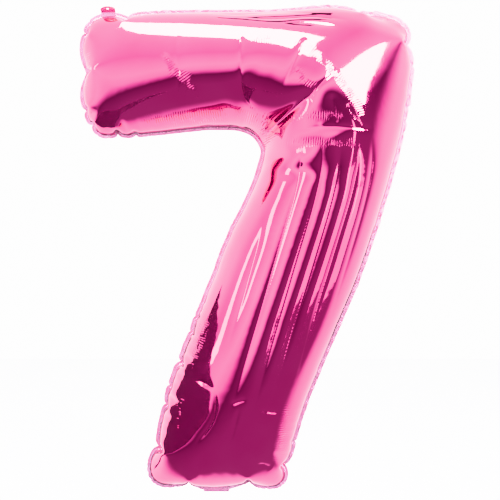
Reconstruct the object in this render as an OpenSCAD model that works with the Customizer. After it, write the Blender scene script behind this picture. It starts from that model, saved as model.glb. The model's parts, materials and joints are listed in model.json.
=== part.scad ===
// Inflated foil number balloon, the figure seven.
// Two mirrored film panels are welded round a flat margin. A self-sealing valve sits between
// them at the base, where the filling neck leaves the seam, and two punched tabs stand on the
// top edge for hanging. X runs to the figure's right, +Y to its back, +Z up. The origin is the
// fold line of the neck, where the ribbon is tied.

/* [Figure] */
// Height from the neck's fold line to the top edge
figure_h = 862; // [780:2:900]
// Height of the top bar, weld line to weld line
bar_h = 198; // [180:1:215]
// How far the bar's top edge rises towards the corner, in degrees
bar_rise = 1.5; // [0:0.1:3]
// Lean of the stem from the vertical, in degrees
stem_tilt = 20; // [16:0.5:24]
// Radius of the inner corner's weld line
inner_r = 51; // [35:1:70]
// Front-to-back thickness of the bar
bar_depth = 200; // [160:2:220]
// Front-to-back thickness where the bar meets the stem
corner_depth = 274; // [200:2:290]
// Front-to-back thickness of the stem
stem_depth = 232; // [180:2:250]

/* [Film] */
// Thickness drawn for the film
film_t = 0.5; // [0.3:0.1:0.8]
// Width of the welded margin outside the weld line
margin_w = 6; // [4:0.5:9]

/* [Neck and valve] */
// Width of the filling neck
neck_w = 46; // [34:1:50]
// Length of the filling neck
neck_l = 70; // [50:1:80]
// Width of the valve sleeve
valve_w = 32; // [22:1:34]
// Length of the valve sleeve inside the neck
sleeve_l = 52; // [30:1:60]
// Length of the two valve flaps inside the envelope
flap_l = 74; // [50:1:90]
// Thickness drawn for one valve film
valve_t = 0.3; // [0.2:0.05:0.4]

/* [Hanging tabs] */
// Width of a hanging tab at its root
tab_w = 26; // [20:1:32]
// Length of a hanging tab
tab_l = 19; // [17:0.5:22]
// Diameter of the punched eyelet
eyelet_d = 5; // [3:0.5:6]
// Rise of a tab above level at rest, in degrees
tab_rise = 20; // [5:1:40]
// Place of the left tab, from the figure's middle
left_tab_x = -192; // [-195:1:-150]
// Place of the right tab on the outer corner, as a share of that corner's length
right_tab_t = 0.3; // [0.05:0.01:0.35]

/* [Hidden] */

foil_pink = [0.85, 0.18, 0.52];
foil_pink_back = [0.80, 0.15, 0.48];
tab_pink = [0.90, 0.35, 0.62];
valve_white = [0.93, 0.93, 0.95];

// The reference figure is 862 high, and every place on its outline scales with the height.
k = figure_h / 862;

// Clearance between the fold line and the margin's edge, so that a folded ply turns freely
fold_gap = 1.3;
// Weld line of the base, and the two ends of it
base_z = fold_gap + margin_w;
base_left = [-104 * k, base_z];
base_right = [98 * k, base_z];
// Left end of the bar, on the weld line
bar_left_x = -229 * k;
bar_top_z = figure_h - margin_w - 5 * k;
// Start of the corner zone on the top edge, and its end on the stem's right edge
corner_start = [150 * k, bar_top_z + 4 * k];
corner_end = [327 * k, 646 * k];
// Handles of the two Bezier curves that round the outer corner
outer_tip = [350 * k, 778 * k];
// Centre of the inner corner's arc
inner_c = [45 * k, bar_top_z - bar_h + 5 * k - inner_r];
// How far the stem's sides bow outwards at their middle
left_bow = 27 * k;
right_bow = 10 * k;
// Length over which each closed end swells to its full thickness
bar_end_l = 84 * k;
stem_end_l = 98 * k;

bar_rings = 16;
corner_rings = 18;
stem_rings = 22;
profile_steps = 18;

function lerp(a, b, t) = a + (b - a) * t;
function bezier(a, b, c, d, t) =
    a * pow(1 - t, 3) + b * 3 * t * pow(1 - t, 2) + c * 3 * t * t * (1 - t) + d * pow(t, 3);
function unit(v) = v / norm(v);
function bowed(a, b, bow, t) = lerp(a, b, t) + bow * 4 * t * (1 - t) * [unit(b - a)[1], -unit(b - a)[0]];

// Weld line of the bar's two long edges
function bar_top(x) = [x, bar_top_z + x * tan(bar_rise)];
function bar_low(x) = [x, bar_top_z - bar_h + x * tan(bar_rise + 1)];

// The inner side runs below the bar, round the inner corner and down the stem's left side.
inner_start_a = 90 + bar_rise;
function inner_arc(t) =
    let (a = lerp(inner_start_a, -stem_tilt, t)) inner_c + inner_r * [cos(a), sin(a)];
function inner_edge(zone, t) =
    zone == 0 ? lerp(bar_low(bar_left_x + 10 * k), inner_arc(0), t)
    : zone == 1 ? inner_arc(t)
    : bowed(inner_arc(1), base_left, left_bow, t);

// The outer side runs along the top, round the outer corner and down the stem's right side.
function outer_corner(t) =
    t < 0.6
    ? bezier(corner_start, corner_start + [110, 3] * k, outer_tip + [0, 68] * k, outer_tip, t / 0.6)
    : bezier(outer_tip, outer_tip - [2, 45] * k, corner_end + [16, 45] * k, corner_end, (t - 0.6) / 0.4);
function outer_edge(zone, t) =
    zone == 0 ? lerp(bar_top(bar_left_x), corner_start, t)
    : zone == 1 ? outer_corner(t)
    : bowed(corner_end, base_right, -right_bow, t);

// Places along the figure: rings crowd towards the two closed ends, where the film turns fastest.
function eased(i, n) = 1 - cos(90 * i / n);
places = [
    for (i = [0:bar_rings - 1]) [0, eased(i, bar_rings)],
    for (i = [0:corner_rings - 1]) [1, i / corner_rings],
    for (i = [0:stem_rings]) [2, 1 - eased(stem_rings - i, stem_rings)]
];
last = len(places) - 1;

bar_len = norm(inner_edge(0, 1) - inner_edge(0, 0));
stem_len = norm(inner_edge(2, 1) - inner_edge(2, 0));

// Share of the full thickness at a distance d from a closed end that swells over length l
function swell(d, l) = let (s = 1 - max(0, min(d / l, 1))) sqrt(1 - s * s);
// Half thickness of the envelope at a place, drawn in by inset for the film's inner face
function half_depth(p, inset) =
    let (zone = p[0], t = p[1])
    zone == 0 ? lerp(bar_depth, corner_depth, pow(t, 3)) / 2 * swell(t * bar_len - inset, bar_end_l)
    : zone == 1 ? corner_depth / 2
    : lerp(corner_depth, stem_depth, min(1, 3 * t)) / 2 * swell((1 - t) * stem_len - inset, stem_end_l);

// One ring of the film at a place: points across the figure from the inner margin's edge to the
// outer one. skin is 1 on the outer face and 0 on the inner face. shift moves an end ring outwards.
function ring(p, skin, shift, side) =
    let (
        a = inner_edge(p[0], p[1]),
        b = outer_edge(p[0], p[1]),
        across = unit(b - a),
        mid = (a + b) / 2 + shift,
        w = norm(b - a) / 2,
        dome_w = skin == 1 ? w : w - film_t,
        dome_h = skin == 1 ? half_depth(p, 0) : max(0, half_depth(p, film_t) - film_t),
        rim_y = skin == 1 ? film_t : 0,
        flat_row = [
            [-w - margin_w, rim_y],
            for (i = [0:profile_steps])
                let (f = 180 * i / profile_steps)
                [-dome_w * cos(f), rim_y + dome_h * sin(f)],
            [w + margin_w, rim_y]
        ]
    )
    [for (q = flat_row) [mid[0] + across[0] * q[0], side * q[1], mid[1] + across[1] * q[0]]];

// Directions in which the margin leaves the two closed ends
end_out = [-1, 0];
base_out = [0, -1];

// Half of the envelope with its margin, as one closed skin of the film's thickness
module film_panel(side) {
    rings = function (skin) [
        ring(places[0], skin, end_out * margin_w, side),
        for (p = places) ring(p, skin, [0, 0], side),
        ring(places[last], skin, base_out * margin_w, side)
    ];
    rows = len(places) + 2;
    cols = profile_steps + 3;
    points = [for (skin = [1, 0]) for (row = rings(skin)) each row];
    at = function (skin, r, c) (1 - skin) * rows * cols + r * cols + c;
    flip = function (f, turn) turn ? [f[2], f[1], f[0]] : f;
    faces = [
        for (skin = [1, 0])
            for (r = [0:rows - 2])
                for (c = [0:cols - 2])
                    for (f = [
                        [at(skin, r, c), at(skin, r + 1, c + 1), at(skin, r + 1, c)],
                        [at(skin, r, c), at(skin, r, c + 1), at(skin, r + 1, c + 1)]
                    ])
                        flip(f, (skin == 1) != (side == 1)),
        for (c = [0, cols - 1])
            for (r = [0:rows - 2])
                for (f = [
                    [at(1, r, c), at(1, r + 1, c), at(0, r + 1, c)],
                    [at(1, r, c), at(0, r + 1, c), at(0, r, c)]
                ])
                    flip(f, (c == 0) != (side == 1)),
        for (r = [0, rows - 1])
            for (c = [0:cols - 2])
                for (f = [
                    [at(1, r, c), at(1, r, c + 1), at(0, r, c + 1)],
                    [at(1, r, c), at(0, r, c + 1), at(0, r, c)]
                ])
                    flip(f, (r == 0) == (side == 1))
    ];
    polyhedron(points, faces, convexity = 8);
}

module front_foil_panel() {
    color(foil_pink) film_panel(-1);
}

module back_foil_panel() {
    color(foil_pink_back) film_panel(1);
}

// Outline of a hanging tab, root on the X axis and round end up
module tab_outline() {
    difference() {
        intersection() {
            translate([-tab_w / 2, 0]) square([tab_w, tab_l]);
            translate([0, tab_l - tab_w / 2 - 1]) circle(r = tab_w / 2 + 1, $fn = 64);
        }
        translate([0, tab_l * 0.58]) circle(d = eyelet_d, $fn = 48);
    }
}

// A tab of two welded plies at a place on the top weld line, with slope degrees of fall along the
// edge there. It leans to one side of the figure.
module hang_tab(place, slope, side) {
    translate([place[0], 0, place[1]])
        rotate([0, slope, 0])
            translate([0, 0, margin_w + fold_gap])
                rotate([side * (tab_rise - 90), 0, 0])
                    rotate([90, 0, 0])
                        linear_extrude(2 * film_t, center = true) tab_outline();
}

module hang_tab_left() {
    color(tab_pink) hang_tab(bar_top(left_tab_x), -bar_rise, -1);
}

module hang_tab_right() {
    along = unit(outer_corner(right_tab_t + 0.01) - outer_corner(right_tab_t - 0.01));
    color(tab_pink) hang_tab(outer_corner(right_tab_t), -atan2(along[1], along[0]), 1);
}

// Outline of a neck ply: root at y = 0, a shallow curved mouth at its end
module neck_outline() {
    difference() {
        hull() {
            translate([-neck_w / 2, 0]) square([neck_w, 1]);
            translate([-neck_w / 2 - 1.5, neck_l - 1]) square([neck_w + 3, 1]);
        }
        translate([0, neck_l + 36]) circle(r = 40, $fn = 96);
    }
}

module neck_ply(level) {
    translate([0, 0.4, level]) linear_extrude(film_t) neck_outline();
}

// The neck is stored folded to the back, so the front panel's ply lies below.
module neck_front_ply() {
    color(foil_pink) neck_ply(-valve_t - film_t);
}

module neck_back_ply() {
    color(foil_pink_back) neck_ply(valve_t);
}

module valve_outer_sleeve() {
    color(valve_white)
        translate([-valve_w / 2, 0.4, -valve_t]) cube([valve_w, sleeve_l, 2 * valve_t]);
}

// One flap of the valve, standing on the weld line inside the envelope
flap_gap = 0.1;
flap_root_z = base_z + 1.5;
module valve_flap(side) {
    y0 = side > 0 ? flap_gap : -flap_gap - valve_t;
    translate([-valve_w / 2, y0, flap_root_z]) cube([valve_w, valve_t, flap_l]);
}

module valve_front_flap() {
    color(valve_white) valve_flap(-1);
}

module valve_back_flap() {
    color(valve_white) valve_flap(1);
}

front_foil_panel();
back_foil_panel();
hang_tab_left();
hang_tab_right();
neck_front_ply();
neck_back_ply();
valve_outer_sleeve();
valve_front_flap();
valve_back_flap();
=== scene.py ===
"""Looks for the foil number balloon, a figure seven of two metallised films.

The film blank is blown up here from its flat cut. Film bends freely and hardly stretches, so the
puckered ends, the crimped rim and the fans of creases at the inner corner are what the simulation
leaves. The tongues of film outside the weld line, the neck and the hanging tabs, are built onto it.
Everything is in metres, in the frame's own axes: X to the figure's right, +Y to its back, +Z up.
"""

import json
import math

import bpy
import numpy as np
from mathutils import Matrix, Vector
from mathutils.geometry import delaunay_2d_cdt


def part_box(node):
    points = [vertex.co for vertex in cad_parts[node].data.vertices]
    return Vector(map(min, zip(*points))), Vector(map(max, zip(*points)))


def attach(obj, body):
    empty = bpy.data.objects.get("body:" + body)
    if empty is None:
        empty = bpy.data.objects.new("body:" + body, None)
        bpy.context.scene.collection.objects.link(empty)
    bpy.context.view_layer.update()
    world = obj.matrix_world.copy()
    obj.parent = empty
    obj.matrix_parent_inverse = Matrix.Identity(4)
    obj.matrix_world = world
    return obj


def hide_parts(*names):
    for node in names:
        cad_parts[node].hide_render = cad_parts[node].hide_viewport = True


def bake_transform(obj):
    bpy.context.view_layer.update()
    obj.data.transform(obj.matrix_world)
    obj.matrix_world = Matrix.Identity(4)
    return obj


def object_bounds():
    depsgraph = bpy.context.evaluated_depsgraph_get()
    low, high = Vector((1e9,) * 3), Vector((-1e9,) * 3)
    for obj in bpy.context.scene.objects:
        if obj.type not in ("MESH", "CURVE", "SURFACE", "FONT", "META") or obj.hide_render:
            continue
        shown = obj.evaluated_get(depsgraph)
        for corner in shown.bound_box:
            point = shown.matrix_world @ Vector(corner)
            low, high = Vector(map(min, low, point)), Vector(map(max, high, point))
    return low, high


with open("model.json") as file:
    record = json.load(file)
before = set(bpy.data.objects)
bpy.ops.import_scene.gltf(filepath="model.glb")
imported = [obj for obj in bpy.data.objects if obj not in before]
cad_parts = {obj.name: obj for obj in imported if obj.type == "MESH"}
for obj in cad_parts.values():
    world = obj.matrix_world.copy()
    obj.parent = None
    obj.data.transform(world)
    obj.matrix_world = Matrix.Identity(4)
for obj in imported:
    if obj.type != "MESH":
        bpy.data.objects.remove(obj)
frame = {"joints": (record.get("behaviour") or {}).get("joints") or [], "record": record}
cad_low, cad_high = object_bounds()
record = frame["record"]
joints = {joint["name"]: joint for joint in frame["joints"]}


# ---------------- camera, floor and light

CAMERA_DISTANCE = 2.2
VIEW_MARGIN = 1.033  # the picture's side, as a share of the balloon's height
FLOOR_DROP = 0.16  # the balloon hangs this far above the floor, clear of its neck
FLOOR_SIZE = 9.0
BACKGROUND = 6.0  # what the eye sees of the room, bright enough to be plain white
STUDIO_STRENGTH = 6.0
# The light comes from the upper left, so the room's bright and dark halves meet on a slant
SLANT_LEFT, SLANT_UP = 0.42, 0.90


def placed(name, data):
    """A new object in the scene."""
    thing = bpy.data.objects.new(name, data)
    bpy.context.scene.collection.objects.link(thing)
    return thing


def make_camera():
    """Level and straight on, at the middle of the figure."""
    middle = (cad_low + cad_high) / 2
    data = bpy.data.cameras.new("camera")
    view_side = VIEW_MARGIN * (cad_high.z - cad_low.z)
    data.lens = data.sensor_width * CAMERA_DISTANCE / view_side
    camera = placed("camera", data)
    camera.location = (middle.x, -CAMERA_DISTANCE, middle.z)
    camera.rotation_euler = (math.pi / 2, 0, 0)
    bpy.context.scene.camera = camera


class Graph:
    """Short calls that build a node tree. An input is a number, a colour or another node's output."""

    def __init__(self, tree):
        self.tree = tree
        tree.nodes.clear()

    def add(self, kind, inputs=None, **settings):
        node = self.tree.nodes.new(kind)
        for key, value in settings.items():
            setattr(node, key, value)
        for key, value in (inputs or {}).items():
            if isinstance(value, bpy.types.NodeSocket):
                self.tree.links.new(value, node.inputs[key])
            else:
                node.inputs[key].default_value = value
        return node

    def math(self, operation, first, second=0.0):
        return self.add("ShaderNodeMath", {0: first, 1: second}, operation=operation).outputs[0]

    def span(self, value, low, high, to_low=0.0, to_high=1.0, smooth=False):
        """value's place between low and high, as a number between to_low and to_high."""
        kind = "SMOOTHSTEP" if smooth else "LINEAR"
        inputs = {"Value": value, "From Min": low, "From Max": high, "To Min": to_low, "To Max": to_high}
        return self.add("ShaderNodeMapRange", inputs, interpolation_type=kind).outputs[0]

    def mix(self, factor, first, second):
        inputs = {0: factor, 6: first, 7: second}
        return self.add("ShaderNodeMix", inputs, data_type="RGBA").outputs[2]

    def ramp(self, value, stops):
        node = self.add("ShaderNodeValToRGB", {0: value})
        elements = node.color_ramp.elements
        for place, _ in stops[2:]:
            elements.new(place)
        for element, (place, shade) in zip(elements, sorted(stops)):
            element.position = place
            element.color = (*shade, 1) if isinstance(shade, tuple) else (shade, shade, shade, 1)
        return node.outputs[0]

    def noise(self, vector, scale, detail=2.0, roughness=0.5):
        inputs = {"Vector": vector, "Scale": scale, "Detail": detail, "Roughness": roughness}
        return self.add("ShaderNodeTexNoise", inputs).outputs[0]

    def attribute(self, name):
        return self.add("ShaderNodeAttribute", attribute_name=name).outputs["Fac"]


def new_material(name):
    """A material, its graph, and the object's own place as that graph's first output."""
    material = bpy.data.materials.new(name)
    material.use_nodes = True
    g = Graph(material.node_tree)
    return material, g, g.add("ShaderNodeTexCoord").outputs["Object"]


def surface(g, looks):
    """Ends a material's graph with a surface of these looks."""
    shader = g.add("ShaderNodeBsdfPrincipled", looks)
    g.add("ShaderNodeOutputMaterial", {"Surface": shader.outputs[0]})


def make_studio():
    """A white room: bright backdrop behind, dim in front and below, plain white to the eye."""
    world = bpy.data.worlds.new("studio")
    bpy.context.scene.world = world
    world.use_nodes = True
    g = Graph(world.node_tree)
    direction = g.add("ShaderNodeTexCoord").outputs["Generated"]
    axes = g.add("ShaderNodeSeparateXYZ", {0: direction})
    leftward = g.math("MULTIPLY", axes.outputs["X"], -SLANT_LEFT)
    upward = g.math("MULTIPLY", axes.outputs["Z"], SLANT_UP)
    height = g.span(g.math("ADD", leftward, upward), -1, 1)
    front = g.ramp(height, [
        (0.0, 0.075), (1.0, 0.60), (0.28, 0.070), (0.40, 0.050), (0.45, 0.035), (0.50, 0.20),
        (0.54, 0.44), (0.62, 0.58), (0.72, 0.46), (0.80, 0.32), (0.90, 0.42),
    ])
    back = g.ramp(height, [(0.0, 0.40), (1.0, 0.55), (0.25, 0.50), (0.5, 0.80), (0.8, 0.65)])
    share = g.span(axes.outputs["Y"], -0.20, 0.30, smooth=True)
    room = g.mix(share, front, back)
    # Straight behind, the backdrop has a dim gap, which the back's own film shows
    gap = g.ramp(height, [
        (0.0, 0.05), (1.0, 0.50), (0.42, 0.07), (0.50, 0.16), (0.56, 0.42), (0.70, 0.50),
    ])
    room = g.mix(g.span(axes.outputs["Y"], 0.84, 0.95, smooth=True), room, gap)
    lit = g.add("ShaderNodeBackground", {"Color": room, "Strength": STUDIO_STRENGTH})
    plain = g.add("ShaderNodeBackground", {"Color": (1, 1, 1, 1), "Strength": BACKGROUND})
    seen = g.add("ShaderNodeLightPath").outputs["Is Camera Ray"]
    both = g.add("ShaderNodeMixShader", {0: seen, 1: lit.outputs[0], 2: plain.outputs[0]})
    g.add("ShaderNodeOutputWorld", {"Surface": both.outputs[0]})


def softbox(name, place, aim, width, height, radiance):
    """A rectangular lamp. It shows in the foil and not to the eye."""
    data = bpy.data.lights.new(name, "AREA")
    data.shape = "RECTANGLE"
    data.size, data.size_y = width, height
    data.energy = radiance * math.pi * width * height
    lamp = placed(name, data)
    lamp.location = place
    lamp.rotation_euler = (Vector(aim) - Vector(place)).to_track_quat("-Z", "Y").to_euler()
    lamp.visible_camera = False


def make_lights():
    middle = (cad_low + cad_high) / 2
    aim = (middle.x, 0, middle.z)
    softbox("overhead_box", (middle.x - 0.35, -0.55, 3.0), aim, 2.2, 1.1, 130)
    softbox("left_box", (middle.x - 2.9, -1.6, 1.55), aim, 0.6, 1.7, 12)
    softbox("right_box", (middle.x + 1.93, -1.16, 1.76), aim, 0.85, 1.2, 90)
    softbox("right_strip", (middle.x + 2.5, -2.1, 0.25), aim, 0.22, 1.4, 6)
    softbox("stem_fill", (middle.x + 1.15, -0.70, 0.06), (0.20, -0.10, 0.42), 0.75, 0.42, 3.0)


def studio_card(name, corners, material):
    """A flat four-cornered piece of the studio."""
    mesh = bpy.data.meshes.new(name)
    mesh.from_pydata(corners, [], [(0, 1, 2, 3)])
    mesh.materials.append(material)
    card = placed(name, mesh)
    return card


def matt_material(name, scale, first, second):
    """A dull surface whose tone drifts between two colours."""
    material, g, place = new_material(name)
    tone = g.ramp(g.noise(place, scale), [(0.0, first), (1.0, second)])
    surface(g, {"Base Color": tone, "Roughness": 0.9})
    return material


# Black cards' corners: one beside the stem's lower left, one far behind, and a narrow one over the
# top edge, which its wrinkles break up into streaks
FLAGS = {
    "side_flag": [(-0.45, -0.90, -0.10), (-0.45, 0.15, -0.10), (-0.45, 0.15, 0.53), (-0.45, -0.20, 0.43)],
    "back_flag": [(-1.0, 1.5, -0.15), (1.1, 1.5, -0.15), (1.1, 1.5, 0.30), (-1.0, 1.5, 0.55)],
    "top_flag": [(-0.05, 0.33, 1.5), (0.26, 0.08, 1.5), (0.28, 0.30, 1.5), (-0.05, 0.40, 1.5)],
}


def make_flags():
    """Black cards that only the foil sees."""
    black = matt_material("black_card", 5, (0.010, 0.010, 0.010), (0.016, 0.016, 0.016))
    for name, corners in FLAGS.items():
        flag = studio_card(name, corners, black)
        flag.visible_camera = False
        flag.visible_shadow = False
        flag.visible_diffuse = False


def make_floor():
    """A pale floor. The foil doesn't show it, as the room's light stands for it there."""
    half = FLOOR_SIZE / 2
    level = cad_low.z - FLOOR_DROP
    corners = [(-half, -half, level), (half, -half, level), (half, half, level), (-half, half, level)]
    pale = matt_material("pale_floor", 1.5, (0.86, 0.86, 0.87), (0.90, 0.90, 0.90))
    studio_card("floor", corners, pale).visible_glossy = False


# ---------------- the flat cut

MARGIN = 0.006  # width of the welded margin outside the weld line
# Corners of the cut's weld line as it lies flat, clockwise from the bar's top left
CUT = [
    (-0.197, 0.985), (-0.110, 0.985), (0.120, 0.933), (0.310, 0.877), (0.365, 0.835), (0.383, 0.770),
    (0.375, 0.635), (0.320, 0.385), (0.235, 0.105), (0.205, 0.005), (0.180, -0.040), (0.060, -0.075),
    (-0.025, -0.075), (-0.085, -0.050), (-0.110, 0.105), (-0.060, 0.385), (-0.020, 0.545),
    (-0.018, 0.592), (-0.044, 0.626), (-0.088, 0.654), (-0.252, 0.742), (-0.280, 0.776),
    (-0.287, 0.840), (-0.234, 0.958),
]


def smooth_outline(corners, per_span=24):
    """A closed centripetal Catmull-Rom curve through the corners."""
    p = np.array(corners)
    spans = []
    for i in range(len(p)):
        quad = [p[(i + k) % len(p)] for k in (-1, 0, 1, 2)]
        knots = np.cumsum([0] + [np.linalg.norm(quad[k + 1] - quad[k]) ** 0.5 for k in range(3)])
        t = np.linspace(knots[1], knots[2], per_span, endpoint=False)[:, None]

        def between(a, b, j, k):
            return ((knots[k] - t) * a + (t - knots[j]) * b) / (knots[k] - knots[j])

        first = [between(quad[k], quad[k + 1], k, k + 1) for k in range(3)]
        second = [between(first[k], first[k + 1], k, k + 2) for k in range(2)]
        spans.append(between(second[0], second[1], 1, 2))
    return np.concatenate(spans)


class Outline:
    """The cut's edge as a function of its share of the whole length."""

    def __init__(self, corners):
        line = smooth_outline(corners)
        self.line = np.vstack([line, line[:1]])
        steps = np.linalg.norm(np.diff(self.line, axis=0), axis=1)
        self.share = np.concatenate([[0], np.cumsum(steps)]) / steps.sum()
        self.length = steps.sum()

    def at(self, share):
        return np.stack([np.interp(np.mod(share, 1), self.share, self.line[:, k]) for k in (0, 1)], 1)


def inside(edge, points):
    """Which points lie inside a closed line."""
    x, y = points.T
    result = np.zeros(len(points), bool)
    for (x1, y1), (x2, y2) in zip(edge, np.roll(edge, -1, 0)):
        if y1 == y2:
            continue
        result ^= ((y1 > y) != (y2 > y)) & (x < (x2 - x1) * (y - y1) / (y2 - y1) + x1)
    return result


def beside(path, points):
    """Distance of each point from an open path, its place along it in metres, and the path's length."""
    best = np.full(len(points), np.inf)
    place = np.zeros(len(points))
    run = 0.0
    for p, q in zip(path, path[1:]):
        d = q - p
        t = np.clip((points - p) @ d / (d @ d), 0, 1)
        away = np.linalg.norm(points - p - t[:, None] * d, axis=1)
        nearer = away < best
        size = np.linalg.norm(d)
        best[nearer] = away[nearer]
        place[nearer] = run + t[nearer] * size
        run += size
    return best, place, run


def distance_to(edge, points):
    """How far each point is from a closed line."""
    return beside(np.vstack([edge, edge[:1]]), points)[0]


def doubled_areas(flat, faces):
    """Twice each flat triangle's area, negative where it runs clockwise."""
    a, b, c = (flat[faces[:, k]] for k in range(3))
    return (b - a)[:, 0] * (c - a)[:, 1] - (b - a)[:, 1] * (c - a)[:, 0]


def sides_of(triangles):
    """The triangles' sides, all first ones, then all second and all third, lower point first."""
    return np.sort(np.concatenate([triangles[:, pair] for pair in ([0, 1], [1, 2], [2, 0])]), 1)


EDGE_CLEARANCE = 0.62  # from a shape's edge to its grid, as a share of the grid's spacing


def triangulated(loops, spacing):
    """Points and counterclockwise triangles of a flat shape. The first loop is its edge, the others
    are holes. The loops' own points come first, and a hexagonal grid fills the inside."""
    edge = loops[0]
    low, high = edge.min(0), edge.max(0)
    rows = []
    for j, y in enumerate(np.arange(low[1], high[1], spacing * math.sqrt(3) / 2)):
        xs = np.arange(low[0] - (j % 2) * spacing / 2, high[0], spacing)
        rows.append(np.stack([xs, np.full(len(xs), y)], 1))
    grid = np.concatenate(rows)
    for k, loop in enumerate(loops):
        grid = grid[inside(loop, grid) == (k == 0)]
        grid = grid[distance_to(loop, grid) > EDGE_CLEARANCE * spacing]
    sides = []
    first = 0
    for loop in loops:
        n = len(loop)
        sides += [(first + i, first + (i + 1) % n) for i in range(n)]
        first += n
    points = np.vstack([*loops, grid])
    # Output 1 is what lies inside the edge. The holes are still filled in it
    found = delaunay_2d_cdt([Vector(p) for p in points], sides, [], 1, 1e-9)
    flat = np.array([list(p) for p in found[0]])
    faces = np.array(found[2])
    middle = flat[faces].mean(1)
    for hole in loops[1:]:
        keep = ~inside(hole, middle)
        faces, middle = faces[keep], middle[keep]
    clockwise = doubled_areas(flat, faces) < 0
    faces[clockwise] = faces[clockwise][:, ::-1]
    return flat, faces


class Cut:
    """One triangulated film blank. Its first n_seam points run along the weld line."""

    def __init__(self, outline, spacing):
        self.n_seam = int(round(outline.length / spacing))
        self.share = np.arange(self.n_seam) / self.n_seam
        self.spacing = spacing
        self.flat, self.faces = triangulated([outline.at(self.share)], spacing)

    def refined(self, outline):
        """The same blank with each triangle cut in four. Also the two old points that each new point
        lies between."""
        f, n, count = self.faces, self.n_seam, len(self.flat)
        edges, which, uses = np.unique(sides_of(f), axis=0, return_inverse=True, return_counts=True)
        which = which.reshape(-1)
        on_seam = uses == 1
        start = np.where(edges[:, 1] == edges[:, 0] + 1, edges[:, 0], edges[:, 1])
        new_id = np.zeros(len(edges), int)
        new_id[on_seam] = 2 * start[on_seam] + 1
        new_id[~on_seam] = n + count + np.arange((~on_seam).sum())
        old_id = np.concatenate([2 * np.arange(n), n + np.arange(n, count)])
        fine = Cut.__new__(Cut)
        fine.n_seam = 2 * n
        fine.spacing = self.spacing / 2
        following = np.append(self.share[1:], 1.0)
        fine.share = np.stack([self.share, (self.share + following) / 2], 1).reshape(-1)
        parents = np.zeros((count + len(edges), 2), int)
        parents[old_id] = np.arange(count)[:, None]
        parents[new_id] = edges
        fine.flat = self.flat[parents].mean(1)
        fine.flat[: 2 * n] = outline.at(fine.share)
        m = len(f)
        ab, bc, ca = new_id[which[:m]], new_id[which[m : 2 * m]], new_id[which[2 * m :]]
        a, b, c = old_id[f].T
        quarters = ((a, ab, ca), (ab, b, bc), (ca, bc, c), (ab, bc, ca))
        fine.faces = np.concatenate([np.stack(t, 1) for t in quarters])
        return fine, parents

    def envelope(self):
        """Triangles and flat places of both panels, and the row of each blank point on the back. The
        back's points follow the front's, and the two share the seam's."""
        count, n = len(self.flat), self.n_seam
        back = np.arange(count)
        back[n:] += count - n
        triangles = np.concatenate([self.faces, back[self.faces][:, ::-1]])
        flat = np.concatenate([self.flat, self.flat[n:]])
        return triangles, flat, back


# ---------------- blowing it up

COARSE_SPACING = 0.020
PUSH = 0.1  # the gas's pressure, for a film point of unit mass
DAMPING = 0.995
SEAM_STIFFNESS = 0.05
CREASE_STIFFNESS = 0.05
# Where the neck and the tabs leave the flat cut, and half the width that each one stiffens
TONGUES_ON_CUT = [((0.060, -0.075), 0.030), ((-0.157, 0.985), 0.017), ((0.330, 0.862), 0.017)]
TONGUE_SPANS = (0.010, 0.020, 0.040)
TONGUE_STIFFNESS = 0.5
SEED = 3
START_SLOPE = 0.15  # how steeply the two films part from their weld before the gas comes in
START_UNEVENNESS = 0.0005
FINER_UNEVENNESS = 0.0001  # added at each finer level
# Steps at each level of detail, and how much of a shortening the film takes back in a step
LEVELS = [(250, 0.5), (250, 0.5), (300, 0.55), (60, 0.6)]


def coloured(links, count):
    """Groups of links in which no point comes twice, so that a group is moved in one go."""
    used = [0] * count
    colour = np.zeros(len(links), int)
    for i, (a, b) in enumerate(links.tolist()):
        taken = used[a] | used[b]
        free = ~taken & (taken + 1)
        colour[i] = free.bit_length() - 1
        used[a] |= free
        used[b] |= free
    return [np.nonzero(colour == c)[0] for c in range(colour.max() + 1)]


def links_of(triangles):
    """Each edge once, and for each edge between two triangles the two corners across it."""
    pairs = sides_of(triangles)
    across = np.concatenate([triangles[:, 2], triangles[:, 0], triangles[:, 1]])
    order = np.lexsort((pairs[:, 1], pairs[:, 0]))
    pairs, across = pairs[order], across[order]
    first = np.nonzero(np.append(True, (pairs[1:] != pairs[:-1]).any(1)))[0]
    return pairs[first], np.stack([across[first], across[np.minimum(first + 1, len(across) - 1)]], 1)


def area_vectors(x, triangles):
    """Each point's share of the surface, as a vector along the surface's normal."""
    a, b, c = (x[triangles[:, k]] for k in range(3))
    normal = np.cross(b - a, c - a) / 6
    result = np.zeros_like(x)
    for corner in triangles.T:
        for axis in range(3):
            result[:, axis] += np.bincount(corner, normal[:, axis], len(x))
    return result


def seam_links(cut):
    """Pairs of weld points that resist folding, with how much they do. The weld is a little stiffer
    than the film, and much stiffer where a tongue's welds run into it."""
    n = cut.n_seam
    index = np.arange(n)
    pairs = [np.stack([index, (index + 2) % n], 1)]
    stiffness = [np.full(n, SEAM_STIFFNESS)]
    for span in TONGUE_SPANS:
        hop = max(1, round(span / cut.spacing))
        pair = np.stack([index, (index + hop) % n], 1)
        middle = cut.flat[pair].mean(1)
        here = np.zeros(n, bool)
        for place, reach in TONGUES_ON_CUT:
            here |= np.linalg.norm(middle - place, axis=1) < reach
        pairs.append(pair[here])
        stiffness.append(np.full(here.sum(), TONGUE_STIFFNESS))
    return np.concatenate(pairs), np.concatenate(stiffness)


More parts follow.
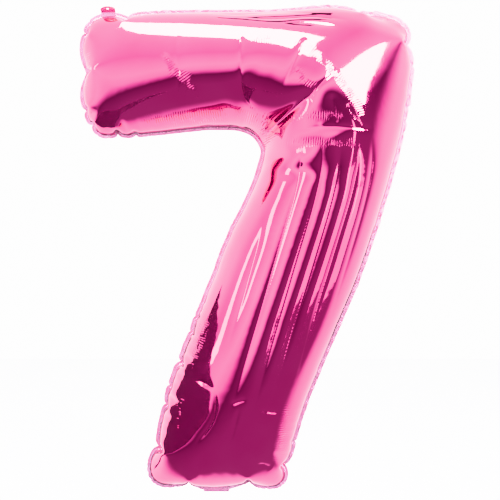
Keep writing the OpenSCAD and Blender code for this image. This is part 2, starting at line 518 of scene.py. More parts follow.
def relax(cut, x, steps, press):
    """Gas pushes the film out, and its links hold their flat lengths. A link resists stretching in
    full and shortening in part, because slack film gathers in wrinkles finer than the mesh."""
    triangles, flat, _ = cut.envelope()
    count, w = len(flat), cut.spacing

    def flat_length(links):
        return np.linalg.norm(flat[links[:, 0]] - flat[links[:, 1]], axis=1)

    edges, across = links_of(triangles)
    across = across[flat_length(across) > 0.5 * w]
    around, around_give = seam_links(cut)
    groups = []
    kinds = ((edges, 1.0, press), (across, 0.0, CREASE_STIFFNESS), (around, 0.0, around_give))
    for links, pull, give in kinds:
        rest = flat_length(links)
        give = np.broadcast_to(give, rest.shape)
        for g in coloured(links, count):
            groups.append((links[g, 0], links[g, 1], rest[g], pull, give[g]))
    velocity = np.zeros_like(x)
    cell = w * w * math.sqrt(3) / 2
    for _ in range(steps):
        velocity = (velocity + area_vectors(x, triangles) * (PUSH * w * w / cell)) * DAMPING
        moved = x + velocity
        for i, j, rest, pull, give in groups:
            d = moved[j] - moved[i]
            length = np.sqrt((d * d).sum(1))
            error = length - rest
            error *= np.where(error < 0, give, pull)
            d *= (0.5 * error / length)[:, None]
            moved[i] += d
            moved[j] -= d
        velocity = moved - x
        x = moved
    return x


def blown_up():
    """The envelope full of gas: its blank, its points, and the rows of the back's points."""
    outline = Outline(CUT)
    cut = Cut(outline, COARSE_SPACING)
    _, flat, back = cut.envelope()
    random = np.random.default_rng(SEED)
    x = np.zeros((len(flat), 3))
    x[:, [0, 2]] = flat
    pillow = START_SLOPE * distance_to(outline.at(cut.share), cut.flat)
    x[: len(pillow), 1] = -pillow
    x[back, 1] += pillow
    x[: cut.n_seam, 1] = 0
    x[:, 1] += random.normal(0, START_UNEVENNESS, len(x))
    for level, (steps, press) in enumerate(LEVELS):
        if level:
            fine, parents = cut.refined(outline)
            _, flat, fine_back = fine.envelope()
            finer = np.zeros((len(flat), 3))
            finer[: len(parents)] = x[parents].mean(1)
            finer[fine_back] = x[back[parents]].mean(1)
            cut, back = fine, fine_back
            x = finer + random.normal(0, FINER_UNEVENNESS, finer.shape)
        x = relax(cut, x, steps, press)
    return cut, x, back


# ---------------- where the tongues leave the rim

ROOT = MARGIN + 0.0013  # from the weld line to a tongue's fold


def unit(v):
    return v / np.linalg.norm(v, axis=-1, keepdims=True)


class Hinge:
    """The fold line where a tongue of film leaves the rim. across runs along the fold, out is the
    rim's own direction there, and along is the tongue's direction at rest."""

    def __init__(self, joint, out, along):
        self.origin = np.array(joints[joint]["pos_m"], float)
        self.body = joints[joint]["child"]
        self.out = unit(np.array(out, float))
        self.along = unit(np.array(along, float))
        self.across = unit(np.cross(self.out, (0, 1, 0)))
        self.weld = self.origin - self.out * ROOT
        # The way the tongue turns at its fold, square to the rim
        self.aside = unit(self.along - self.out * (self.out @ self.along))
        self.turn = math.acos(float(np.clip(self.out @ self.along, -1, 1)))


def find_hinges():
    """Each tongue's hinge, from the frame's joints and mounts."""
    mounts = {mount["name"]: mount for mount in record["mounts"]}
    hinges = {"neck": Hinge("neck_fold", (0, 0, -1), (0, 1, 0))}
    for side in ("left", "right"):
        axis = np.array(joints[f"{side}_tab_fold"]["axis"], float)
        out = np.cross(axis, (0, 1, 0))
        out *= np.sign(out[2])
        along = np.cross(axis, mounts[f"{side}_eyelet"]["axis"])
        along *= np.sign(along[2])
        hinges[side] = Hinge(f"{side}_tab_fold", out, along)
    return hinges


hinges = find_hinges()

# Where the weld is drawn straight, at the base and the bar's free end: a spot's middle (x, z) and
# its half sizes, the passes along the weld, and how far into the film the change reaches
STRAIGHT_SPOTS = [((0.000, 0.000), (0.078, 0.040)), ((-0.240, 0.745), (0.040, 0.075))]
STRAIGHT_PASSES = 90
STRAIGHT_REACH = 0.022
PULL_REACH = 0.055  # how far from a tongue the rim is still shifted to meet it
PULL_POINTS = 9  # weld points that are drawn onto a tongue's place, as a group
BATCHES = 200  # the film is handled in this many parts, to spare memory


def smoothed_around(values, passes):
    """Values along a closed line, each drawn towards its neighbours."""
    for _ in range(passes):
        values = (np.roll(values, 1, 0) + 2 * values + np.roll(values, -1, 0)) / 4
    return values


def in_spots(spots, points):
    """How far each point (x, z) belongs to soft-edged oval spots, from 0 to 1."""
    strength = np.zeros(len(points))
    for middle, half in spots:
        away = (((points - middle) / half) ** 2).sum(1)
        strength = np.maximum(strength, np.exp(-(away**2)))
    return strength


def straightened(cut, x):
    """Takes the deep scallops out of the weld line at the figure's two square ends."""
    seam = x[: cut.n_seam]
    strength = in_spots(STRAIGHT_SPOTS, seam[:, [0, 2]])
    shift = strength[:, None] * (smoothed_around(seam, STRAIGHT_PASSES) - seam)
    result = x.copy()
    for rows in np.array_split(np.arange(len(x)), BATCHES):
        away = np.linalg.norm(x[rows, None] - seam, axis=2)
        nearest = away.argmin(1)
        fade = np.exp(-((away.min(1) / STRAIGHT_REACH) ** 2))
        result[rows] += fade[:, None] * shift[nearest]
    return result


def pull_to_hinges(cut, x):
    """Shifts the rim a little, so that the weld line passes where each tongue leaves it."""
    for hinge in hinges.values():
        seam = x[: cut.n_seam]
        near = np.argsort(np.linalg.norm(seam - hinge.weld, axis=1))[:PULL_POINTS]
        shift = hinge.weld - seam[near].mean(0)
        shift -= hinge.across * (shift @ hinge.across)
        away = np.linalg.norm(x - hinge.weld, axis=1)
        x = x + np.exp(-((away / PULL_REACH) ** 2))[:, None] * shift
    return x


# ---------------- creases pressed into the film

# Where the film is drawn smooth, round the inner corner and at the outer one: a spot's middle
# (x, z) and its half sizes. Then the passes for all of them, and the passes for the whole film
SMOOTH_SPOTS = [
    ((0.170, 0.572), (0.105, 0.045)), ((0.015, 0.715), (0.080, 0.060)), ((0.215, 0.755), (0.085, 0.060)),
    ((0.150, 0.685), (0.080, 0.060)), ((0.105, 0.590), (0.060, 0.055)),
]
SMOOTH_PASSES = 80
GRAIN_PASSES = 6


def eased(cut, x):
    """Takes the mesh's own grain out of the film, and the cross pleats out of the smooth spots."""
    edges = links_of(cut.envelope()[0])[0]
    i, j = edges.T
    count = len(x)
    degree = np.bincount(i, minlength=count) + np.bincount(j, minlength=count)

    def smooth(x, strength):
        around = np.zeros_like(x)
        for k in range(3):
            around[:, k] = np.bincount(i, x[j, k], count) + np.bincount(j, x[i, k], count)
        return x + strength[:, None] * (around / degree[:, None] - x)

    everywhere = np.full(count, 0.5)
    everywhere[: cut.n_seam] = 0
    for _ in range(GRAIN_PASSES):
        x = smooth(x, everywhere)
    spots = in_spots(SMOOTH_SPOTS, x[:, [0, 2]])
    for _ in range(SMOOTH_PASSES):
        x = smooth(x, everywhere * spots)
    return x


# Folds pressed into each panel, as places (x, z) along one, its half width, its depth, and the
# shares of its length over which it starts and fades. A fold is sharp at its bottom, and the film
# between two folds is a soft ridge.
FRONT_FOLDS = [
    # Flutes down the stem
    ([(0.058, 0.540), (0.024, 0.440), (-0.010, 0.320)], 0.010, 0.0014, 0.4, 0.5),
    ([(0.090, 0.505), (0.066, 0.420), (0.018, 0.250)], 0.012, 0.0040, 0.35, 0.45),
    ([(0.148, 0.630), (0.136, 0.540), (0.092, 0.380), (0.020, 0.130)], 0.016, 0.0072, 0.2, 0.4),
    ([(0.182, 0.632), (0.172, 0.530), (0.130, 0.380), (0.058, 0.130)], 0.017, 0.0088, 0.2, 0.35),
    ([(0.213, 0.632), (0.206, 0.540), (0.168, 0.400), (0.092, 0.150)], 0.016, 0.0084, 0.2, 0.35),
    ([(0.243, 0.632), (0.241, 0.550), (0.208, 0.430), (0.135, 0.190)], 0.013, 0.0064, 0.2, 0.4),
    ([(0.266, 0.626), (0.268, 0.560), (0.245, 0.460), (0.192, 0.290)], 0.009, 0.0034, 0.2, 0.5),
    # Long wrinkles under the top edge
    ([(-0.030, 0.846), (0.040, 0.840), (0.120, 0.845), (0.190, 0.838)], 0.0045, 0.0034, 0.3, 0.3),
    ([(0.030, 0.832), (0.100, 0.829), (0.170, 0.834), (0.235, 0.826)], 0.0050, 0.0038, 0.4, 0.3),
    ([(0.110, 0.818), (0.160, 0.820), (0.215, 0.812)], 0.0045, 0.0030, 0.4, 0.3),
    # The fan of creases round the inner corner
    ([(0.047, 0.798), (0.044, 0.740), (0.050, 0.690), (0.076, 0.662)], 0.004, 0.0014, 0.1, 0.3),
    ([(0.157, 0.792), (0.127, 0.730), (0.112, 0.700)], 0.005, 0.0030, 0.1, 0.6),
    ([(0.208, 0.738), (0.166, 0.695), (0.146, 0.676)], 0.005, 0.0030, 0.1, 0.6),
    ([(0.269, 0.634), (0.190, 0.637), (0.130, 0.630)], 0.004, 0.0014, 0.1, 0.6),
    ([(0.158, 0.692), (0.168, 0.662), (0.180, 0.634)], 0.004, 0.0012, 0.2, 0.2),
    ([(0.196, 0.692), (0.201, 0.664), (0.206, 0.637)], 0.004, 0.0012, 0.2, 0.2),
    ([(0.222, 0.677), (0.236, 0.654), (0.252, 0.634)], 0.004, 0.0012, 0.2, 0.2),
    # Puckers and thin creases low on the stem
    ([(-0.056, 0.212), (-0.028, 0.206), (0.000, 0.194)], 0.0035, 0.0022, 0.2, 0.4),
    ([(0.112, 0.150), (0.092, 0.154), (0.070, 0.156)], 0.0035, 0.0020, 0.2, 0.4),
    ([(0.098, 0.050), (0.084, 0.058), (0.068, 0.060)], 0.0035, 0.0020, 0.2, 0.4),
    ([(0.002, 0.192), (-0.004, 0.140), (-0.036, 0.092)], 0.0035, 0.0012, 0.3, 0.3),
    ([(0.026, 0.166), (0.040, 0.172), (0.056, 0.176)], 0.0035, 0.0016, 0.3, 0.3),
    ([(0.042, 0.165), (0.034, 0.130), (0.024, 0.094)], 0.0030, 0.0010, 0.3, 0.3),
    # Slight cross creases of the bar
    ([(-0.060, 0.835), (-0.066, 0.780), (-0.062, 0.720), (-0.070, 0.680)], 0.004, 0.0006, 0.3, 0.3),
]
BACK_FOLDS = [
    ([(0.075, 0.618), (0.055, 0.560), (0.012, 0.430), (-0.020, 0.310)], 0.011, 0.0020, 0.1, 0.5),
    ([(0.118, 0.612), (0.110, 0.530), (0.070, 0.400), (0.030, 0.240)], 0.013, 0.0054, 0.1, 0.5),
    ([(0.165, 0.615), (0.160, 0.520), (0.115, 0.370), (0.070, 0.190)], 0.013, 0.0048, 0.1, 0.5),
    ([(0.210, 0.622), (0.205, 0.530), (0.172, 0.400), (0.115, 0.250)], 0.012, 0.0050, 0.1, 0.5),
    ([(0.248, 0.620), (0.250, 0.550), (0.228, 0.450), (0.185, 0.310)], 0.010, 0.0024, 0.1, 0.6),
    ([(0.088, 0.662), (0.110, 0.715), (0.128, 0.770), (0.140, 0.812)], 0.006, 0.0026, 0.1, 0.3),
    ([(0.110, 0.650), (0.155, 0.685), (0.200, 0.715), (0.240, 0.735)], 0.006, 0.0028, 0.1, 0.3),
    ([(0.080, 0.622), (0.135, 0.628), (0.205, 0.632), (0.262, 0.622)], 0.007, 0.0034, 0.1, 0.15),
    ([(-0.010, 0.842), (-0.016, 0.785), (-0.010, 0.725), (-0.016, 0.680)], 0.004, 0.0006, 0.3, 0.3),
]


def smooth_path(corners, per_span=10):
    """An open Catmull-Rom curve through the corners."""
    p = np.array(corners)
    p = np.vstack([2 * p[0] - p[1], p, 2 * p[-1] - p[-2]])
    t = np.linspace(0, 1, per_span, endpoint=False)[:, None]
    spans = []
    for a, b, c, d in zip(p, p[1:], p[2:], p[3:]):
        spans.append(b + 0.5 * t * (c - a + t * (2 * a - 5 * b + 4 * c - d + t * (3 * (b - c) + d - a))))
    return np.vstack([*spans, p[-2:-1]])


def fold_depths(folds, points):
    """How far each point (x, z) is pressed in by a list of folds."""
    depth = np.zeros(len(points))
    for corners, half_width, deepest, start, end in folds:
        away, place, length = beside(smooth_path(corners), points)
        share = place / length
        fade = np.clip(share / start, 0, 1) * np.clip((1 - share) / end, 0, 1)
        depth += deepest * fade * fade * (3 - 2 * fade) * np.exp(-away / half_width)
    return depth


def press_folds(cut, x, back):
    """Presses the front's and the back's folds into the film, less where it turns away."""
    triangles = cut.envelope()[0]
    normal = unit(area_vectors(x, triangles))
    result = x.copy()
    for rows, folds in ((np.arange(len(cut.flat)), FRONT_FOLDS), (back, BACK_FOLDS)):
        rows = rows[cut.n_seam :]
        depth = fold_depths(folds, x[rows][:, [0, 2]])
        # Full where the film faces the front or the back, and none at its edge
        depth *= np.clip(np.abs(normal[rows, 1]) * 1.6 - 0.3, 0, 1)
        result[rows] -= normal[rows] * depth[:, None]
    return result


# ---------------- meshes

FLANGE_ROWS = 3
PLY_GAP = 0.00012  # half the gap drawn between two welded plies
TAB_HALF = 0.013
TAB_LENGTH = 0.019  # from its fold to its round end
EYELET_RADIUS = 0.0025
EYELET_PLACE = 0.58 * TAB_LENGTH
NECK_HALF = 0.023
NECK_LENGTH = 0.070
NECK_FLARE = 0.0015  # how much the neck's half width grows towards its mouth
MOUTH_RADIUS = 0.040
MOUTH_DIP = 0.004
FOLD_RADIUS = 0.0009  # of the film's bend where a tongue leaves the rim
GRIP_START = 0.0015  # from the fold back to where a tongue begins to follow the weld's own line
WELD_STRETCH = 0.06  # how much of the weld, to each side of a hinge, a tongue can follow
NECK_WELD = 0.16  # each side weld's width, as a share of the neck's half width
NECK_LOOSE = 0.00042  # how far a neck ply stands off between its side welds


def new_piece(name, points, faces, materials, face_materials=None, marks=None):
    """A smooth-shaded mesh object. marks are numbers kept at its points for the materials."""
    mesh = bpy.data.meshes.new(name)
    mesh.from_pydata(np.asarray(points).tolist(), [], faces)
    mesh.polygons.foreach_set("use_smooth", [True] * len(mesh.polygons))
    for material in materials:
        mesh.materials.append(material)
    if face_materials is not None:
        mesh.polygons.foreach_set("material_index", face_materials)
    for mark, values in (marks or {}).items():
        attribute = mesh.attributes.new(mark, "FLOAT", "POINT")
        attribute.data.foreach_set("value", np.asarray(values, np.float32))
    mesh.update()
    return placed(name, mesh)


def rim_directions(cut, x, back):
    """At each weld point: away from the figure, and towards the front, both square to the weld."""
    n = cut.n_seam
    seam = x[:n]
    tangent = unit(np.roll(seam, -1, 0) - np.roll(seam, 1, 0))
    hub = np.zeros((n, 3))
    count = np.zeros(n)
    for a, b in ((0, 1), (1, 2), (2, 0)):
        for i, j in ((a, b), (b, a)):
            on_seam = (cut.faces[:, i] < n) & (cut.faces[:, j] >= n)
            here, there = cut.faces[on_seam, i], cut.faces[on_seam, j]
            np.add.at(hub, here, x[there] - x[back[there]])
            np.add.at(count, here, 1)
    front = unit(smoothed_around(hub / np.maximum(count, 1)[:, None], 2))
    out = unit(np.cross(tangent, front))
    flat_edge = cut.flat[:n]
    run = np.roll(flat_edge, -1, 0) - np.roll(flat_edge, 1, 0)
    if (out[:, 0] * -run[:, 1] + out[:, 2] * run[:, 0]).sum() < 0:
        out = -out
    out = unit(smoothed_around(out, 3))
    front = unit(np.cross(out, tangent))
    front *= np.sign(-front[:, 1:2] + 1e-9)
    return out, front


def near_hinge(seam, hinge):
    """Distance along the weld line from the hinge's middle, positive towards its across."""
    steps = np.linalg.norm(np.roll(seam, -1, 0) - seam, axis=1)
    place = np.concatenate([[0], np.cumsum(steps)[:-1]])
    middle = np.argmin(np.linalg.norm(seam - hinge.weld, axis=1))
    along = (place - place[middle] + steps.sum() / 2) % steps.sum() - steps.sum() / 2
    direction = (seam[(middle + 1) % len(seam)] - seam[middle - 1]) @ hinge.across
    offset = (seam[middle] - hinge.weld) @ hinge.across
    return along * np.sign(direction) + offset


def margin_rows(seam, rim, side):
    """Rows of points across one ply of the welded margin, from the weld line out."""
    out, front = rim
    turn = np.arange(len(seam)) * 2 * math.pi / len(seam)
    # The gathered margin waves a little, more at its free edge
    wave = 0.00045 * np.sin(turn * 171 + 2 * np.sin(turn * 23)) + 0.0003 * np.sin(turn * 97)
    wave += 0.00022 * np.sin(turn * 390 + 3 * np.sin(turn * 41)) * (1 + np.sin(turn * 17)) / 2
    rows = []
    for row in range(1, FLANGE_ROWS + 1):
        share = row / FLANGE_ROWS
        lift = wave * share**1.5 - side * PLY_GAP * min(1, 2 * share)
        rows.append(seam + out * (MARGIN * share) + front * lift[:, None])
    return rows


def margin_quads(seam, count):
    """The margin's faces, left out where a tongue has its root. Its rows follow count film points."""
    n = len(seam)
    tongue_here = np.zeros(n, bool)
    for key, hinge in hinges.items():
        half = NECK_HALF if key == "neck" else TAB_HALF
        tongue_here |= np.abs(near_hinge(seam, hinge)) < half
    ring = np.arange(n)
    following = (ring + 1) % n
    kept = ~(tongue_here & tongue_here[following])
    quads = []
    for row in range(FLANGE_ROWS):
        inner = 0 if row == 0 else count + (row - 1) * n
        outer = count + row * n
        quad = np.stack([inner + ring, inner + following, outer + following, outer + ring], 1)
        quads.append(quad[kept])
    return np.concatenate(quads)


# Combs of fine crimps: places (x, z) along each one, and its half width
COMBS = [
    ([(0.130, 0.785), (0.168, 0.762), (0.201, 0.726), (0.232, 0.690), (0.252, 0.640)], 0.006),
    ([(0.062, 0.790), (0.100, 0.788)], 0.006),
    ([(0.130, 0.742), (0.150, 0.715), (0.178, 0.694)], 0.006),
    ([(0.115, 0.650), (0.160, 0.655), (0.230, 0.655)], 0.005),
    ([(0.115, 0.616), (0.160, 0.610), (0.245, 0.610)], 0.006),
    ([(-0.060, 0.735), (-0.030, 0.690)], 0.007),
    ([(-0.092, 0.772), (-0.060, 0.722)], 0.006),
    ([(-0.135, 0.652), (-0.040, 0.658), (0.040, 0.662)], 0.008),
    ([(0.040, 0.668), (0.080, 0.648), (0.098, 0.600)], 0.009),
    ([(-0.012, 0.335), (-0.040, 0.225)], 0.008),
    ([(-0.052, 0.205), (-0.072, 0.095)], 0.006),
    ([(0.128, 0.170), (0.108, 0.060)], 0.007),
    ([(-0.222, 0.800), (-0.224, 0.690)], 0.008),
]
CRIMP = 0.0040  # from one crimp to the next


def film_marks(points):
    """Where the film is finely crimped: the crimps' running count, and how strong they are."""
    count = np.zeros(len(points))
    strength = np.zeros(len(points))
    for corners, half_width in COMBS:
        away, place, length = beside(smooth_path(corners), points)
        share = place / length
        ends = np.clip(4 * share, 0, 1) * np.clip(4 * (1 - share), 0, 1)
        here = np.exp(-((away / half_width) ** 2)) * ends
        nearer = here > strength
        strength[nearer] = here[nearer]
        count[nearer] = place[nearer] / CRIMP
    return {"crimp": count, "crimped": strength}


def panel_piece(name, side, cut, x, back, rim, materials):
    """One film panel with its ply of the welded margin. side is -1 for the front and 1 for the back."""
    count = len(cut.flat)
    seam = x[: cut.n_seam]
    rows = np.arange(count) if side < 0 else back
    points = np.concatenate([x[rows], *margin_rows(seam, rim, side)])
    faces, quads = cut.faces, margin_quads(seam, count)
    if side > 0:
        faces, quads = faces[:, ::-1], quads[:, ::-1]
    slots = np.concatenate([np.zeros(len(faces), int), np.ones(len(quads), int)])
    used = np.unique(np.concatenate([faces.reshape(-1), quads.reshape(-1)]))
    renumber = np.full(len(points), -1)
    renumber[used] = np.arange(len(used))
    unmarked = np.zeros(len(points) - count)
    marks = film_marks(x[rows][:, [0, 2]])
    marks = {key: np.concatenate([value, unmarked])[used] for key, value in marks.items()}
    all_faces = renumber[faces].tolist() + renumber[quads].tolist()
    return new_piece(name, points[used], all_faces, materials, slots, marks)


def tongue_points(hinge, flat, seam, seam_place, lift):
    """Places a tongue's flat film: v below zero is the rim, from the weld line to the fold, and v
    above zero is the tongue. lift is each point's height over the tongue's middle, to its front."""
    u, v = flat.T
    corner = FOLD_RADIUS * math.tan(hinge.turn / 2)
    arc = FOLD_RADIUS * hinge.turn
    bend = np.clip((v + corner) / arc, 0, 1) * hinge.turn
    ahead = np.minimum(v, -corner) + FOLD_RADIUS * np.sin(bend)
    aside = FOLD_RADIUS * (1 - np.cos(bend))
    beyond = np.maximum(v - (arc - corner), 0)
    points = hinge.origin + np.outer(ahead, hinge.out) + np.outer(aside, hinge.aside)
    points += np.outer(beyond, hinge.along) + np.outer(u, hinge.across)
    normal = np.outer(np.sin(bend), hinge.out) - np.outer(np.cos(bend), hinge.aside)
    points += normal * (lift * np.sign(hinge.aside[1]))[:, None]
    order = np.argsort(seam_place)
    at_seam = np.stack([np.interp(u, seam_place[order], seam[order, k]) for k in range(3)], 1)
    grip = np.clip(-(v + GRIP_START) / (ROOT - GRIP_START), 0, 1)
    grip = grip * grip * (3 - 2 * grip)
    return points + grip[:, None] * (at_seam - points)


def tab_outline():
    """A tab's flat edge and its eyelet's, from the weld line (v = -ROOT) to the round end."""
    end_radius = TAB_HALF + 0.001
    centre = TAB_LENGTH - end_radius
    shoulder = centre + math.sqrt(end_radius**2 - TAB_HALF**2)
    swing = math.asin(TAB_HALF / end_radius)
    turns = np.linspace(swing, -swing, 30)
    arc = [(end_radius * math.sin(a), centre + end_radius * math.cos(a)) for a in turns]
    right = [(TAB_HALF, v) for v in np.arange(-ROOT, shoulder, 0.001)]
    left = [(-u, v) for u, v in reversed(right)]
    bottom = [(u, -ROOT) for u in np.linspace(-TAB_HALF, TAB_HALF, 27)[1:-1]]
    turns = np.linspace(0, 2 * math.pi, 40)[:-1]
    hole = [(EYELET_RADIUS * math.cos(a), EYELET_PLACE + EYELET_RADIUS * math.sin(a)) for a in turns]
    return np.array(right + arc + left + bottom), np.array(hole)


def neck_half(v):
    """The neck's half width at a distance v past its fold."""
    return NECK_HALF + NECK_FLARE * np.clip(v / NECK_LENGTH, 0, 1)


def neck_outline():
    """A neck ply's flat edge, from the weld line to the curved mouth."""
    right = [(neck_half(v), v) for v in np.arange(-ROOT, NECK_LENGTH, 0.0015)]
    left = [(-u, v) for u, v in reversed(right)]
    mouth_half = neck_half(NECK_LENGTH)
    centre = NECK_LENGTH - MOUTH_DIP + MOUTH_RADIUS
    mouth = []
    for u in np.linspace(mouth_half, -mouth_half, 34):
        mouth.append((u, min(NECK_LENGTH, centre - math.sqrt(MOUTH_RADIUS**2 - u * u))))
    bottom = [(u, -ROOT) for u in np.linspace(-NECK_HALF, NECK_HALF, 32)[1:-1]]
    return np.array(right + mouth + left + bottom)


def tab_lift(flat):
    """Height of a tab's ply over the tab's middle: the two are welded all over."""
    return np.full(len(flat), PLY_GAP)


def neck_lift(flat):
    """Height of a neck ply over the neck's middle: welded at its sides, loose over the valve."""
    u, v = flat.T
    loose = np.clip((1 - np.abs(u) / neck_half(v)) / NECK_WELD, 0, 1)
    loose = loose * loose * (3 - 2 * loose)
    below_weld = np.clip((v + ROOT) / ROOT, 0, 1)
    past_fold = np.clip(v / 0.02, 0, 1)
    ripple = 0.00012 * np.sin(u * 520 + 3 * np.sin(v * 120)) + 0.0001 * np.sin(v * 260 + u * 90)
    return PLY_GAP + loose * below_weld * (NECK_LOOSE + ripple * past_fold)


def tongue_piece(name, hinge, loops, spacing, side, lift, seam, materials):
    """One ply of a tongue. side is -1 for the front ply and 1 for the back one. The second material
    is for its root on the rim."""
    flat, faces = triangulated(loops, spacing)
    place = near_hinge(seam, hinge)
    near = np.abs(place) < WELD_STRETCH
    points = tongue_points(hinge, flat, seam[near], place[near], -side * lift(flat))
    a, b, c = (points[faces[:, k]] for k in range(3))
    facing = np.cross(b - a, c - a).sum(0)
    front = (hinge.out - hinge.aside) * np.sign(hinge.aside[1])
    if (facing @ front) * side > 0:
        faces = faces[:, ::-1]
    on_rim = flat[faces][:, :, 1].mean(1) < -FOLD_RADIUS
    return new_piece(name, points, faces.tolist(), materials, np.where(on_rim, 1, 0))


# ---------------- materials


HATCH = 4200  # how fast the sealing bar's cross-hatch turns, in radians a metre


def bump(g, height, distance, strength, below=None):
    inputs = {"Height": height, "Distance": distance, "Strength": strength}
    if below is not None:
        inputs["Normal"] = below
    return g.add("ShaderNodeBump", inputs).outputs[0]


def foil_material(name, deep, bright, crimped):
    """Metallised film under a clear coloured lacquer, mirror-smooth but for its fine crimps, which
    only the panels have."""
    material, g, place = new_material(name)
    # The lacquer's colour drifts a little, as it is thinner where the film was stretched
    drift = g.noise(place, 9, 3)
    colour = g.ramp(drift, [(0.3, deep), (0.7, bright)])
    # Handling leaves faint dull patches and finer specks
    dull = g.span(g.noise(place, 14, 4, 0.6), 0.55, 0.8, 0.055, 0.10)
    speck = g.span(g.noise(place, 420, 2), 0.60, 0.75, 0.0, 0.03)
    rough = g.math("ADD", dull, speck)
    # Slack film lies in long soft ripples, and under them the roll's faint grain
    ripple = bump(g, g.noise(place, 30, 2), 0.0010, 0.12)
    normal = bump(g, g.noise(place, 700, 2), 0.0001, 0.05, ripple)
    if crimped:
        count = g.attribute("crimp")
        # Crimps come unevenly, and each one runs to its own length
        uneven = g.math("ADD", count, g.span(g.noise(place, 40, 2), 0, 1, 0.0, 1.2))
        wave = g.math("SINE", g.math("MULTIPLY", uneven, 2 * math.pi))
        patchy = g.span(g.noise(place, 95, 2), 0.38, 0.62)
        crest = g.math("MULTIPLY", g.math("MULTIPLY", wave, g.attribute("crimped")), patchy)
        normal = bump(g, crest, 0.0004, 1.0, normal)
    surface(g, {
        "Base Color": colour, "Metallic": 1.0, "Roughness": rough, "Normal": normal,
        "Specular Tint": (1.0, 0.88, 0.94, 1.0), "Coat Weight": 1.0, "Coat Roughness": 0.05,
        "Coat IOR": 1.5, "Coat Normal": normal,
    })
    return material


def margin_material(name):
    """The heat-sealed margin: the film's colour, dulled by the sealing bar's fine cross-hatch."""
    material, g, place = new_material(name)
    axes = g.add("ShaderNodeSeparateXYZ", {0: place})
    ways = []
    for operation in ("ADD", "SUBTRACT"):
        way = g.math(operation, axes.outputs["X"], axes.outputs["Z"])
        ways.append(g.math("SINE", g.math("MULTIPLY", way, HATCH)))
    hatch = g.math("MULTIPLY", *ways)
    tone = g.ramp(g.noise(place, 60, 3), [(0.3, (0.86, 0.34, 0.61)), (0.7, (0.93, 0.50, 0.75))])
    seal = bump(g, hatch, 0.0002, 0.5)
    crumple = bump(g, g.noise(place, 160, 3), 0.0006, 0.5, seal)
    rough = g.span(g.noise(place, 90, 2), 0.3, 0.7, 0.14, 0.30)
    surface(g, {
        "Base Color": tone, "Metallic": 1.0, "Roughness": rough, "Normal": crumple,
        "Coat Weight": 0.6, "Coat Roughness": 0.12,
    })
    return material


def valve_material():
    """Milky polythene film with fine drawing lines."""
    material, g, place = new_material("milky_valve_film")
    tone = g.ramp(g.noise(place, 120, 3), [(0.3, (0.78, 0.79, 0.82)), (0.7, (0.90, 0.90, 0.92))])
    stretched = g.add("ShaderNodeMapping", {"Vector": place, "Scale": (900, 40, 40)}).outputs[0]
    lines = bump(g, g.noise(stretched, 1, 2), 0.0002, 0.3)
    rough = g.span(g.noise(place, 70, 2), 0.3, 0.7, 0.32, 0.5)
    surface(g, {"Base Color": tone, "Roughness": rough, "Normal": lines})
    return material


# ---------------- the valve


def grid_faces(rows, width, closed):
    """Quads between rows of points. A closed row's last point meets its first."""
    faces = []
    for r in range(rows):
        for c in range(width if closed else width - 1):
            a, b = r * width + c, r * width + (c + 1) % width
            faces.append((a, b, b + width, a + width))
    return faces


def valve_flap(name, node, body, side, material):
    """One of the two films that close on each other inside the base."""
    low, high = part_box(node)
    columns, rows = 24, 52
    middle_x, middle_y = (low.x + high.x) / 2, (low.y + high.y) / 2
    points = []
    for r in range(rows + 1):
        for c in range(columns + 1):
            u, v = c / columns * 2 - 1, r / rows
            # Nearly flat, a little narrower at the free end, and lower at that end's corners
            curl = 0.00005 * math.sin(9 * v + 2 * u) + 0.00004 * math.cos(5 * u)
            x = middle_x + u * (high.x - low.x) / 2 * (1 - 0.02 * v)
            z = low.z + v * (high.z - low.z) - 0.0016 * v * u * u
            points.append((x, middle_y + side * curl, z))
    faces = grid_faces(rows, columns + 1, False)
    if side > 0:
        faces = [quad[::-1] for quad in faces]
    piece = new_piece(name, points, faces, [material])
    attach(piece, body)
    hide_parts(node)


def valve_sleeve(material):
    """The valve's two films where they run down the neck, welded along both sides."""
    low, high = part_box("valve_outer_sleeve")
    across, rows = 22, 40
    weld = 0.00003  # half the films' distance at their welds
    points = []
    for r in range(rows + 1):
        v = r / rows
        for side in (-1, 1):
            for c in range(across):
                u = c / (across - 1) * 2 - 1
                # The films part a little towards the open end, whose edge is curved
                parted = 0.00022 * (1 - u**4) * (0.6 + 0.4 * v)
                y = low.y + v * (high.y - low.y)
                if r == rows:
                    y -= 0.0012 * (1 - u * u)
                points.append((-side * u * high.x, y, side * (weld + parted)))
    piece = new_piece("valve_sleeve_film", points, grid_faces(rows, 2 * across, True), [material])
    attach(piece, "neck")
    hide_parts("valve_outer_sleeve")


# ---------------- putting it together

DEEP_PINK, BRIGHT_PINK = (0.80, 0.045, 0.29), (0.87, 0.075, 0.35)
DEEP_BACK_PINK, BRIGHT_BACK_PINK = (0.79, 0.042, 0.28), (0.86, 0.072, 0.34)
TAB_SPACING, NECK_SPACING = 0.0012, 0.0016  # of their meshes' points


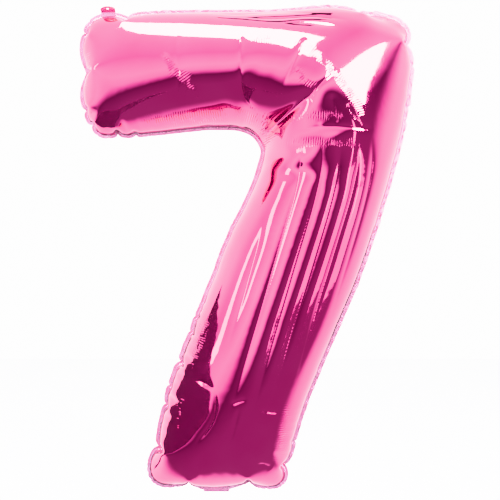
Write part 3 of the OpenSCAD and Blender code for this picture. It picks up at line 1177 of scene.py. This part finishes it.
def add_panels(cut, x, back, margin):
    """The front and back films, each with its ply of the margin."""
    rim = rim_directions(cut, x, back)
    area = np.abs(doubled_areas(cut.flat, cut.faces)).sum() / 2 + MARGIN * Outline(CUT).length
    front_foil = foil_material("pink_foil", DEEP_PINK, BRIGHT_PINK, True)
    back_foil = foil_material("pink_foil_back", DEEP_BACK_PINK, BRIGHT_BACK_PINK, True)
    for name, node, side, foil in (
        ("front_film", "front_foil_panel", -1, front_foil),
        ("back_film", "back_foil_panel", 1, back_foil),
    ):
        piece = panel_piece(name, side, cut, x, back, rim, [foil, margin])
        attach(piece, "envelope")
        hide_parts(node)


def add_tongue(piece):
    """Bakes a ply's placement into its mesh points."""
    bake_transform(piece)


def add_tabs(seam, margin):
    """Two welded plies for each hanging tab. The front ply takes the place of the CAD tab."""
    loops, looks = tab_outline(), [margin, margin]
    for key, node in (("left", "hang_tab_left"), ("right", "hang_tab_right")):
        for side, ply in ((-1, "front"), (1, "back")):
            name = f"{node}_{ply}_ply"
            piece = tongue_piece(name, hinges[key], loops, TAB_SPACING, side, tab_lift, seam, looks)
            add_tongue(piece)
            if side < 0:
                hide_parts(node)


def add_neck(seam, margin):
    """The neck's two plies, welded at their sides, with the valve's sleeve between them."""
    foil = foil_material("pink_foil_neck", DEEP_PINK, BRIGHT_PINK, False)
    hinge, loops, looks = hinges["neck"], [neck_outline()], [foil, margin]
    for side, name in ((-1, "neck_front"), (1, "neck_back")):
        film = f"{name}_film"
        piece = tongue_piece(film, hinge, loops, NECK_SPACING, side, neck_lift, seam, looks)
        add_tongue(piece)
        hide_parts(f"{name}_ply")


def assemble():
    """All the balloon's films."""
    cut, x, back = blown_up()
    x = straightened(cut, x)
    x = pull_to_hinges(cut, x)
    x = eased(cut, x)
    x = press_folds(cut, x, back)
    seam = x[: cut.n_seam]
    margin = margin_material("sealed_margin")
    add_panels(cut, x, back, margin)
    add_tabs(seam, margin)
    add_neck(seam, margin)
    valve = valve_material()
    valve_sleeve(valve)
    valve_flap("valve_front_film", "valve_front_flap", "valve_front", -1, valve)
    valve_flap("valve_back_film", "valve_back_flap", "valve_back", 1, valve)


make_camera()
make_studio()
make_lights()
make_flags()
make_floor()
bpy.context.scene.view_settings.view_transform = "Khronos PBR Neutral"
assemble()
